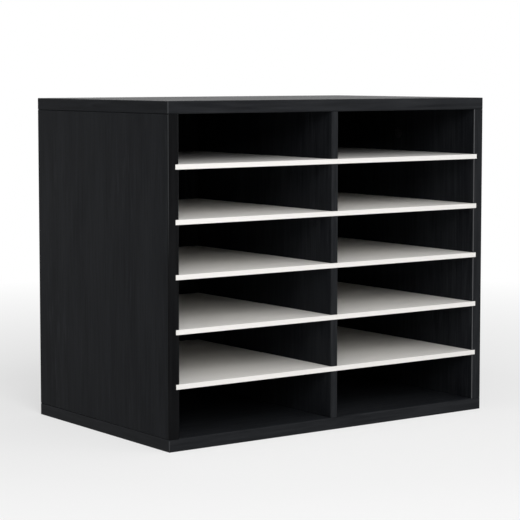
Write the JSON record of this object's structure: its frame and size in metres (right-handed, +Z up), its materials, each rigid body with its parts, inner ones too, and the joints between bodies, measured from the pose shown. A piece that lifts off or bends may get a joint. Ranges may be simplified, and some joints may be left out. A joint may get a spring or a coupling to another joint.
{
  "type": "literature organizer",
  "caption": "Free-standing desktop case of black wood-grain boards whose open-fronted compartments are made by an upright divider and thin white shelves that slide out forwards.",
  "frame": {"origin": "on the surface it stands on, under the middle of the case", "axes": "+Z up, the open front faces -Y, +X to the right of someone who faces the front"},
  "size_m": [0.49, 0.305, 0.41],
  "materials": {
    "black_board": "black wood-grain laminate, satin",
    "black_band": "black edge band with a faint grain, satin",
    "white_board": "white melamine-faced fibreboard, satin",
    "white_band": "white edge band, satin",
    "back_board": "black lacquered hardboard",
    "cam_metal": "blackened die-cast zinc",
    "bolt_steel": "zinc-plated steel",
    "dowel_wood": "plain beech"
  },
  "bodies": {
    "case": {"back_board": "back_board", "divider": "black_board", "divider_bands": "black_band", "top_board": "black_board", "top_front_band": "black_band", "top_rear_band": "black_band", "top_left_band": "black_band", "top_right_band": "black_band", "bottom_board": "black_board", "bottom_front_band": "black_band", "bottom_rear_band": "black_band", "bottom_left_band": "black_band", "bottom_right_band": "black_band", "left_side_board": "black_board", "left_side_front_band": "black_band", "left_side_rear_band": "black_band", "left_cam_bolts": "bolt_steel", "left_cam_locks": "cam_metal", "left_dowels": "dowel_wood", "right_side_board": "black_board", "right_side_front_band": "black_band", "right_side_rear_band": "black_band", "right_cam_bolts": "bolt_steel", "right_cam_locks": "cam_metal", "right_dowels": "dowel_wood"},
    "shelf_1": {"shelf_1": "white_board", "shelf_1_band": "white_band"},
    "shelf_2": {"shelf_2": "white_board", "shelf_2_band": "white_band"},
    "shelf_3": {"shelf_3": "white_board", "shelf_3_band": "white_band"},
    "shelf_4": {"shelf_4": "white_board", "shelf_4_band": "white_band"},
    "shelf_5": {"shelf_5": "white_board", "shelf_5_band": "white_band"}
  },
  "joints": [
    {"name": "shelf_1_slide", "type": "slide", "parent": "case", "child": "shelf_1", "axis": [0, -1, 0], "range_m": [0, 0.293]},
    {"name": "shelf_2_slide", "type": "slide", "parent": "case", "child": "shelf_2", "axis": [0, -1, 0], "range_m": [0, 0.293]},
    {"name": "shelf_3_slide", "type": "slide", "parent": "case", "child": "shelf_3", "axis": [0, -1, 0], "range_m": [0, 0.293]},
    {"name": "shelf_4_slide", "type": "slide", "parent": "case", "child": "shelf_4", "axis": [0, -1, 0], "range_m": [0, 0.293]},
    {"name": "shelf_5_slide", "type": "slide", "parent": "case", "child": "shelf_5", "axis": [0, -1, 0], "range_m": [0, 0.293]}
  ]
}
